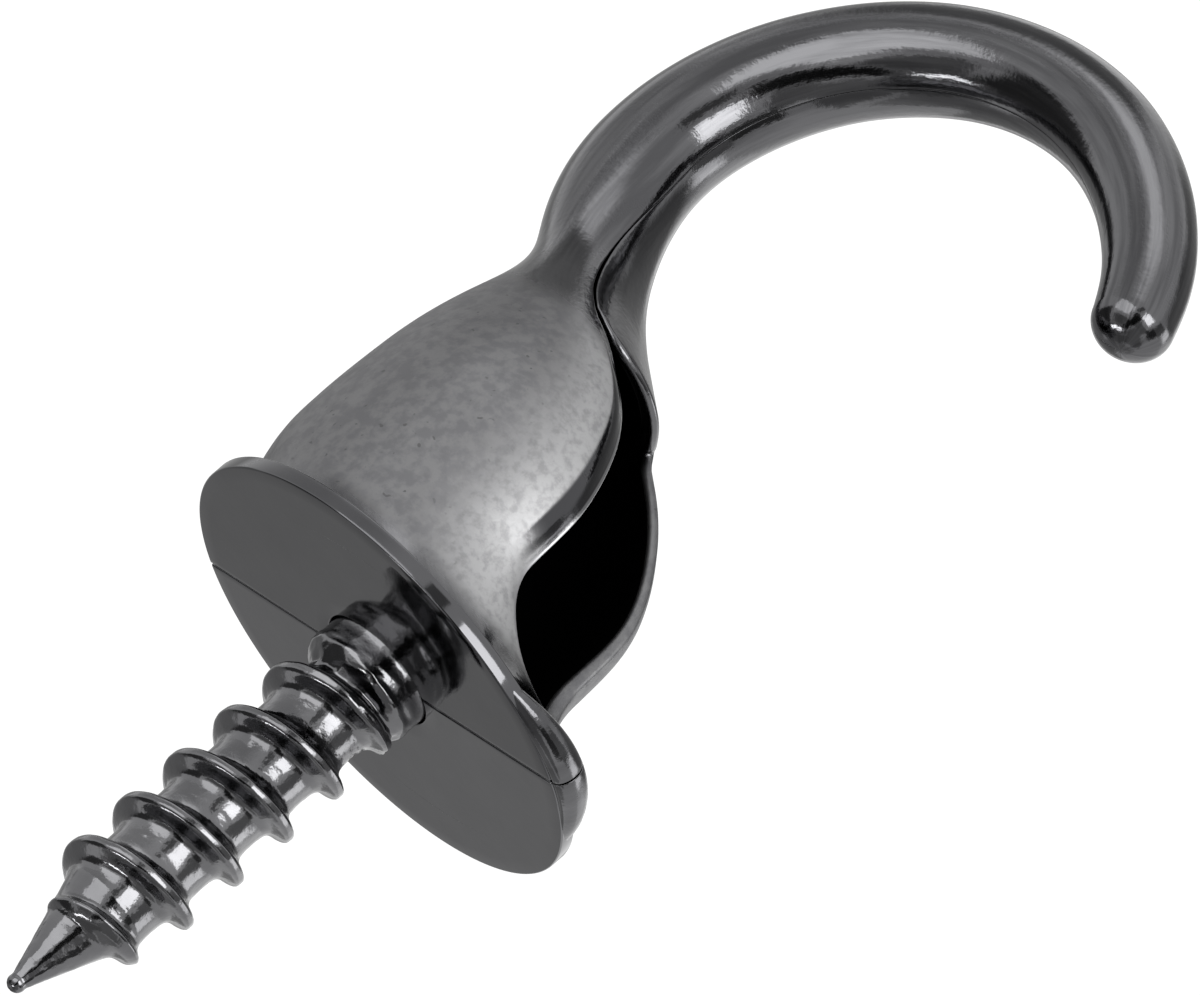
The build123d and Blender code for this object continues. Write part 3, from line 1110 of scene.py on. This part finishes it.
@dataclass(frozen=True)
class SheetPlating:
    """Black-nickel plating on cold-rolled steel sheet.

    To the eye it is near-black chrome. The rolled hook and the folded rim are polished by the
    tools and mirror the room with soft streaks along the roll. The pressed bell stays satin
    and paler, with a faint mottle and a few tiny pits. Beside the front leaf's margin the bell
    carries a painted highlight, broken into spots; the margin itself is burnished glossy and
    carries a painted dark reflection, and its cut edge a thin painted highlight. The inside
    is dull, and painted near-black as the shade in the hollow sheet. Heights are from the
    mounting face, and places round the sheet run from 0 at the closed back to 1 at the front
    cut edge.
    """

    name: str = "black_nickel_on_sheet"
    polished: str = "68686A"
    streaked: str = "525254"
    satin: str = "777778"
    satin_stained: str = "6B6B6D"
    # Painted highlight: the soft light that the satin bell mirrors beside the front leaf's margin.
    painted_highlight: str = "B2B2B3"
    # Painted dark reflection on the front leaf's rolled-in margin.
    margin: str = "48484A"
    # Painted highlight along the front leaf's cut edge.
    painted_edge_highlight: str = "A6A6A8"
    pit: str = "5C5C5D"
    # Painted shade: the inner skin of the hollow sheet is near-black; its dullness is real.
    inside: str = "121213"
    polished_roughness: float = 0.11
    satin_roughness: float = 0.46
    inside_roughness: float = 0.6
    satin_heights: Span = (-13.8, -12.0)
    rim_heights: Span = (-2.4, -1.2)
    leaf_heights: Span = (-4.0, -6.0)
    highlight_place: Span = (0.72, 0.94)
    margin_place: Span = (0.94, 0.95)
    edge_place: Span = (0.995, 1.0)
    inner_place: Span = (1.9, 1.95)
    # The mottle and the grain of a satin nickel are under 0.1 mm, too fine to show, and are
    # drawn 0.5 and 0.35 mm across. A pit is 0.1 mm: the peak of a 0.28 mm swell.
    cloud_size: float = 0.5
    grain_size: float = 0.35
    pit_size: float = 0.28
    cloud_levels: Span = (0.38, 0.62)
    grain_levels: Span = (0.3, 0.6)
    pit_levels: Span = (0.7, 0.76)
    # Rolling streaks, in map units: 12 on half of the hook's girth of 5.4 mm are 0.45 mm wide,
    # and 1.2 in the map's 10 mm are 8.3 mm long.
    streaks: tuple[float, float, float] = (12.0, 1.2, 1.0)
    streak_levels: Span = (0.35, 0.65)
    streak_gloss: Span = (0.75, 1.35)
    # Least share of the painted highlight in its spots, and depth of the streaks and the grain.
    least_highlight: float = 0.6
    streak_relief: float = 0.8
    relief: float = 0.02

    def material(self) -> bpy.types.Material:
        """Makes the node material.

        Returns:
            The material.
        """
        material = bare_material(self.name)
        tree = material.node_tree
        place = add_node(tree, "ShaderNodeTexCoord")
        solid, own_map = place.outputs["Object"], place.outputs["UV"]
        height = add_node(tree, "ShaderNodeSeparateXYZ", Vector=solid).outputs["Z"]
        around = add_node(tree, "ShaderNodeSeparateXYZ", Vector=own_map).outputs["X"]
        along = add_node(tree, "ShaderNodeMapping", Vector=own_map, Scale=self.streaks).outputs[0]
        cloud, grain, pits, streak = (
            add_node(
                tree,
                "ShaderNodeTexNoise",
                Vector=vector,
                Scale=scale,
                Detail=detail,
                Roughness=0.6,
            ).outputs[0]
            for vector, scale, detail in (
                (solid, 1 / (self.cloud_size * MM), 5.0),
                (solid, 1 / (self.grain_size * MM), 3.0),
                (solid, 1 / (self.pit_size * MM), 1.0),
                (along, 1.0, 5.0),
            )
        )
        spans = {
            "bell": (height, *(z * MM for z in self.satin_heights)),
            "rim": (height, *(z * MM for z in self.rim_heights)),
            "leaf": (height, *(z * MM for z in self.leaf_heights)),
            "painted_highlight": (around, *self.highlight_place),
            "margin": (around, *self.margin_place),
            "edge": (around, *self.edge_place),
            "inside": (around, *self.inner_place),
            "streak": (streak, *self.streak_levels),
            "cloud": (cloud, *self.cloud_levels),
            "grain": (grain, *self.grain_levels),
            "pit": (pits, *self.pit_levels),
        }
        masks = {
            mask: add_node(
                tree, "ShaderNodeMapRange", EASED, Value=value, From_Min=low, From_Max=high
            ).outputs["Result"]
            for mask, (value, low, high) in spans.items()
        }
        below_rim = add_node(tree, "ShaderNodeMix", n0=masks["rim"], n2=1.0, n3=0.0).outputs[0]
        spotty = add_node(
            tree, "ShaderNodeMix", n0=masks["grain"], n2=self.least_highlight, n3=1.0
        ).outputs[0]
        # Shares: the satin bell; the painted highlight beside the front margin, broken into spots;
        # the margin's burnish, which also carries a painted dark reflection.
        satin, highlight_share, burnished_and_painted_dark = (
            add_node(tree, "ShaderNodeMath", TIMES, n0=first, n1=second).outputs[0]
            for first, second in (
                (masks["bell"], below_rim),
                (masks["painted_highlight"], spotty),
                (masks["margin"], masks["leaf"]),
            )
        )
        # Painted highlight along the front cut edge of the satin bell.
        edge_highlight_share = add_node(tree, "ShaderNodeMath", TIMES, n0=masks["edge"], n1=satin).outputs[0]

        # Bell tone: satin mottle and pits, then the painted highlight beside the margin and the
        # painted dark reflection on the margin.
        pressed = linear(self.satin_stained)
        for share, tone in (
            (masks["cloud"], self.satin),
            (masks["pit"], self.pit),
            (highlight_share, self.painted_highlight),
            (burnished_and_painted_dark, self.margin),
        ):
            pressed = add_node(
                tree, "ShaderNodeMix", COLOURS, n0=share, n6=pressed, n7=linear(tone)
            ).outputs[2]
        colour = linear(self.streaked)
        for share, layer in (
            (masks["streak"], linear(self.polished)),
            (satin, pressed),
            (edge_highlight_share, linear(self.painted_edge_highlight)),
            # The inner skin is painted near-black as shade.
            (masks["inside"], linear(self.inside)),
        ):
            colour = add_node(
                tree, "ShaderNodeMix", COLOURS, n0=share, n6=colour, n7=layer
            ).outputs[2]

        rough = self.polished_roughness
        for share, other in (
            (satin, self.satin_roughness),
            (burnished_and_painted_dark, self.polished_roughness),
        ):
            rough = add_node(tree, "ShaderNodeMix", n0=share, n2=rough, n3=other).outputs[0]
        dull, dullest = self.streak_gloss
        uneven = add_node(
            tree, "ShaderNodeMapRange", Value=streak, To_Min=dull, To_Max=dullest
        ).outputs["Result"]
        rough = add_node(tree, "ShaderNodeMath", TIMES, n0=rough, n1=uneven).outputs[0]
        rough = add_node(
            tree, "ShaderNodeMix", n0=masks["inside"], n2=rough, n3=self.inside_roughness
        ).outputs[0]
        relief = add_node(
            tree,
            "ShaderNodeMath",
            {"operation": "MULTIPLY_ADD"},
            n0=streak,
            n1=self.streak_relief,
            n2=grain,
        ).outputs[0]
        bump = add_node(
            tree, "ShaderNodeBump", Strength=0.5, Distance=self.relief * MM, Height=relief
        ).outputs["Normal"]
        shader = add_node(
            tree,
            "ShaderNodeBsdfPrincipled",
            Base_Color=colour,
            Metallic=1.0,
            Roughness=rough,
            Normal=bump,
        )
        add_node(tree, "ShaderNodeOutputMaterial", Surface=shader.outputs[0])
        return material


@dataclass(frozen=True)
class BrightPlating:
    """Black-nickel plating on a rolled or blanked steel surface.

    To the eye it is a dark mirror whose tone and gloss drift a little in soft clouds. On the
    screw it is paler and duller, with the fine unevenness of a rolled thread.
    """

    name: str
    colour: str = "6C6C6E"
    stained: str = "58585A"
    roughness: float = 0.08
    # The clouds of a barrel plating are about 3 mm across. The scratches of rolling and
    # blanking are hundredths of a millimetre, too fine to show, and are drawn 0.5 mm.
    cloud_size: float = 3.0
    grain_size: float = 0.5
    grain_height: float = 0.01
    cloud_gloss: Span = (0.7, 1.4)

    def material(self) -> bpy.types.Material:
        """Makes the node material.

        Returns:
            The material.
        """
        material = bare_material(self.name)
        tree = material.node_tree
        solid = add_node(tree, "ShaderNodeTexCoord").outputs["Object"]
        cloud, grain = (
            add_node(
                tree,
                "ShaderNodeTexNoise",
                Vector=solid,
                Scale=1 / (size * MM),
                Detail=detail,
                Roughness=0.6,
            ).outputs[0]
            for size, detail in ((self.cloud_size, 4.0), (self.grain_size, 3.0))
        )
        colour = add_node(
            tree,
            "ShaderNodeMix",
            COLOURS,
            n0=cloud,
            n6=linear(self.stained),
            n7=linear(self.colour),
        ).outputs[2]
        rough = add_node(
            tree,
            "ShaderNodeMapRange",
            Value=cloud,
            To_Min=self.roughness * self.cloud_gloss[0],
            To_Max=self.roughness * self.cloud_gloss[1],
        ).outputs["Result"]
        bump = add_node(
            tree, "ShaderNodeBump", Strength=0.5, Distance=self.grain_height * MM, Height=grain
        ).outputs["Normal"]
        shader = add_node(
            tree,
            "ShaderNodeBsdfPrincipled",
            Base_Color=colour,
            Metallic=1.0,
            Roughness=rough,
            Normal=bump,
        )
        add_node(tree, "ShaderNodeOutputMaterial", Surface=shader.outputs[0])
        return material


def direction(azimuth: float, elevation: float) -> Vector:
    """Unit vector at an azimuth from +X towards +Y and an elevation, in degrees."""
    a, e = math.radians(azimuth), math.radians(elevation)
    return Vector((math.cos(a) * math.cos(e), math.sin(a) * math.cos(e), math.sin(e)))


@dataclass(frozen=True)
class Card:
    """Curved reflector card of the studio, seen only in the plating's reflections.

    Its place and size are degrees as seen from the hook, its reach is metres.
    """

    name: str
    azimuth: float
    elevation: float
    width: float
    height: float
    tone: float
    softness: float = 0.12
    reach: float = 1.2
    columns: int = 24
    rows: int = 16

    def material(self) -> bpy.types.Material:
        """Even glow that fades out towards the margin of the card.

        Returns:
            The material.
        """
        material = bare_material(self.name)
        tree = material.node_tree
        own_map = add_node(tree, "ShaderNodeTexCoord").outputs["UV"]
        split = add_node(tree, "ShaderNodeSeparateXYZ", Vector=own_map)
        shares = []
        for axis in ("X", "Y"):
            centred = add_node(
                tree, "ShaderNodeMath", {"operation": "SUBTRACT"}, n0=split.outputs[axis], n1=0.5
            ).outputs[0]
            away = add_node(
                tree, "ShaderNodeMath", {"operation": "ABSOLUTE"}, n0=centred
            ).outputs[0]
            shares.append(
                add_node(
                    tree,
                    "ShaderNodeMapRange",
                    EASED,
                    Value=away,
                    From_Min=0.5 - self.softness,
                    From_Max=0.5,
                    To_Min=1.0,
                    To_Max=0.0,
                ).outputs["Result"]
            )
        share = add_node(tree, "ShaderNodeMath", TIMES, n0=shares[0], n1=shares[1]).outputs[0]
        glow = add_node(tree, "ShaderNodeEmission", Color=(1, 1, 1, 1), Strength=self.tone)
        clear = add_node(tree, "ShaderNodeBsdfTransparent")
        mix = add_node(
            tree, "ShaderNodeMixShader", n0=share, n1=clear.outputs[0], n2=glow.outputs[0]
        )
        add_node(tree, "ShaderNodeOutputMaterial", Surface=mix.outputs[0])
        return material

    def build(self) -> None:
        """Bends a grid round the hook and gives it its tone."""
        bm = bmesh.new()
        bmesh.ops.create_grid(bm, x_segments=self.columns, y_segments=self.rows, size=0.5)
        layer = bm.loops.layers.uv.new("UVMap")
        for face in bm.faces:
            for loop in face.loops:
                loop[layer].uv = (loop.vert.co.x + 0.5, loop.vert.co.y + 0.5)
        for vert in bm.verts:
            azimuth = self.azimuth + vert.co.x * self.width
            elevation = self.elevation + vert.co.y * self.height
            vert.co = direction(azimuth, elevation) * self.reach
        card = new_object(bm, self.name)
        card.data.materials.append(self.material())
        card.visible_camera = False
        card.visible_diffuse = False
        card.visible_shadow = False
        card.visible_transmission = False


@dataclass(frozen=True)
class Softbox:
    """Rectangular lamp that faces the hook.

    Its place and size are degrees as seen from the hook, its reach is metres.
    """

    name: str
    azimuth: float
    elevation: float
    width: float
    height: float
    radiance: float
    reach: float = 0.6

    def build(self) -> None:
        """Hangs the lamp, with the power that gives it its radiance."""
        data = bpy.data.lights.new(self.name, "AREA")
        data.shape = "RECTANGLE"
        data.size = 2 * self.reach * math.tan(math.radians(self.width / 2))
        data.size_y = 2 * self.reach * math.tan(math.radians(self.height / 2))
        data.energy = self.radiance * math.pi * data.size * data.size_y
        lamp = bpy.data.objects.new(self.name, data)
        back = direction(self.azimuth, self.elevation)
        lamp.rotation_mode = "QUATERNION"
        lamp.rotation_quaternion = back.to_track_quat("Z", "Y")
        lamp.location = back * self.reach
        bpy.context.scene.collection.objects.link(lamp)
        lamp.visible_camera = False


@dataclass
class Studio:
    """Floor, white surround, lamps, cards and camera."""

    # The camera stands on this side of the hook, with this way up in its picture, and aims a
    # little beside the mounting face's middle.
    toward: Vector = Vector((0.61899, 0.70702, 0.34199))
    image_up: Vector = Vector((-0.42059, 0.66614, -0.61591))
    target_right: float = 7.2024
    target_up: float = 5.5896
    distance: float = 795.07
    lens: float = 739.4
    sensor: float = 36.0
    clip: Span = (0.01, 20.0)
    # The floor lies low enough for the cards under the hook to stand over it. Its size is metres.
    floor_height: float = -1250.0
    floor_size: float = 16.0
    floor_colour: str = "EBEBEB"
    floor_glow: str = "8C8C8C"

    def camera(self) -> None:
        """Stands the long-lens camera in front of the hook."""
        data = bpy.data.cameras.new("camera")
        data.lens = self.lens
        data.sensor_width = self.sensor
        data.clip_start, data.clip_end = self.clip
        camera = bpy.data.objects.new("camera", data)
        back = self.toward.normalized()
        side = self.image_up.cross(back).normalized()
        up = back.cross(side)
        target = side * self.target_right + up * self.target_up
        turn = Matrix((side, up, back)).transposed().to_4x4()
        camera.matrix_world = Matrix.Translation((target + back * self.distance) * MM) @ turn
        bpy.context.scene.collection.objects.link(camera)
        bpy.context.scene.camera = camera

    def surround(self) -> None:
        """White all round, which lights the hook evenly."""
        world = bpy.data.worlds.new("surround")
        bpy.context.scene.world = world
        world.use_nodes = True
        tree = world.node_tree
        tree.nodes.clear()
        sky = add_node(tree, "ShaderNodeBackground", Color=(1, 1, 1, 1), Strength=1.0)
        add_node(tree, "ShaderNodeOutputWorld", Surface=sky.outputs[0])

    def floor(self) -> None:
        """Pale matt floor that looks white to the camera and in metal, and keeps the shadow."""
        bm = bmesh.new()
        bmesh.ops.create_grid(bm, x_segments=1, y_segments=1, size=self.floor_size / 2)
        bmesh.ops.translate(bm, verts=bm.verts, vec=(0, 0, self.floor_height * MM))
        floor = new_object(bm, "floor")
        material = bare_material("pale_floor")
        tree = material.node_tree
        path = add_node(tree, "ShaderNodeLightPath")
        seen = add_node(
            tree,
            "ShaderNodeMath",
            {"operation": "MAXIMUM"},
            n0=path.outputs["Is Camera Ray"],
            n1=path.outputs["Is Glossy Ray"],
        ).outputs[0]
        matt = add_node(tree, "ShaderNodeBsdfDiffuse", Color=linear(self.floor_colour))
        glow = add_node(tree, "ShaderNodeEmission", Color=linear(self.floor_glow), Strength=seen)
        both = add_node(tree, "ShaderNodeAddShader", n0=matt.outputs[0], n1=glow.outputs[0])
        add_node(tree, "ShaderNodeOutputMaterial", Surface=both.outputs[0])
        floor.data.materials.append(material)

    def build(self) -> None:
        """Makes the whole stage."""
        self.camera()
        self.surround()
        self.floor()
        # Cards: azimuth, elevation, width, height and tone, where 1 is white. Each has its own
        # reach, so that two that overlap don't lie in each other.
        for card in (
            Card("black_flag", 46, 34, 28, 68, 0.02),
            Card("flag_foot", 57, -13, 14, 26, 0.26, reach=1.19),
            Card("dark_doorway", -12, 8, 30, 30, 0.1, reach=1.18),
            Card("doorway_foot", -18, -19, 34, 32, 0.35, reach=1.17),
            Card("dark_wall", 14, 27, 42, 24, 0.35, reach=1.205),
            Card("dark_side", 152, 44, 62, 52, 0.1),
            Card("dark_ceiling", -15, 50, 92, 36, 0.38, reach=1.16),
            Card("dark_ceiling_side", 88, 50, 62, 30, 0.3, reach=1.15),
            Card("ceiling_far", -100, 52, 78, 36, 0.5, reach=1.14),
            Card("white_board", -47, -26, 34, 32, 3.2, 0.25, 1.13),
            Card("white_board_far", -78, -18, 34, 26, 1.4, 0.3, 1.12),
            Card("grey_back", -166, 24, 46, 56, 0.4),
            Card("grey_wall", -130, 26, 42, 50, 0.4, reach=1.11),
            Card("grey_table", -145, -20, 62, 44, 0.45, 0.2, 1.1),
            Card("low_board", 112, -46, 88, 32, 2.1, 0.35, 1.09),
            Card("side_board", 130, -18, 110, 26, 0.8, 0.3, 1.08),
            Card("floor_board", 60, -76, 200, 30, 1.1, 0.2, 1.07),
            Card("dark_corner", 168, -51, 72, 46, 0.35, 0.25, 1.06),
            Card("dark_low", -80, -55, 134, 52, 0.3, 0.25, 1.03),
            Card("zenith_left", -90, 77, 200, 30, 0.28, reach=1.055),
            Card("zenith_right", 90, 77, 200, 30, 0.28, reach=1.05),
            Card("strip_lamp", 95, 74, 110, 6, 12.0, reach=1.04),
        ):
            card.build()
        for lamp in (
            Softbox("key_window", 25, -8, 30, 26, 5.0),
            Softbox("tall_softbox", 93, 8, 46, 36, 1.7),
        ):
            lamp.build()
        bpy.context.scene.view_settings.view_transform = "Standard"


def main() -> None:
    """Builds the hook, then the stage."""
    logging.basicConfig(level=logging.INFO, format="%(name)s %(message)s")
    sheet = SheetPlating().material()
    # Both flaps carry one plating; the front flap's copy is a shade darker as a painted dark
    # reflection on that half of the plate.
    front_flap = BrightPlating(
        "black_nickel_on_front_flap_painted_darker", "626264", "525254", roughness=0.07, grain_height=0.004
    )
    rear_flap = BrightPlating(
        "black_nickel_on_rear_flap", "727274", "626264", roughness=0.07, grain_height=0.004
    )
    screw = BrightPlating(
        "black_nickel_on_screw", "808082", "525254", roughness=0.13, grain_height=0.04
    )
    SheetBody().build(sheet)
    PlateFlap("plate_flap_front", Side.FRONT).build(front_flap.material())
    PlateFlap("plate_flap_rear", Side.REAR).build(rear_flap.material())
    WoodScrew().build(screw.material())
    Studio().build()


if __name__ == "__main__":
    main()
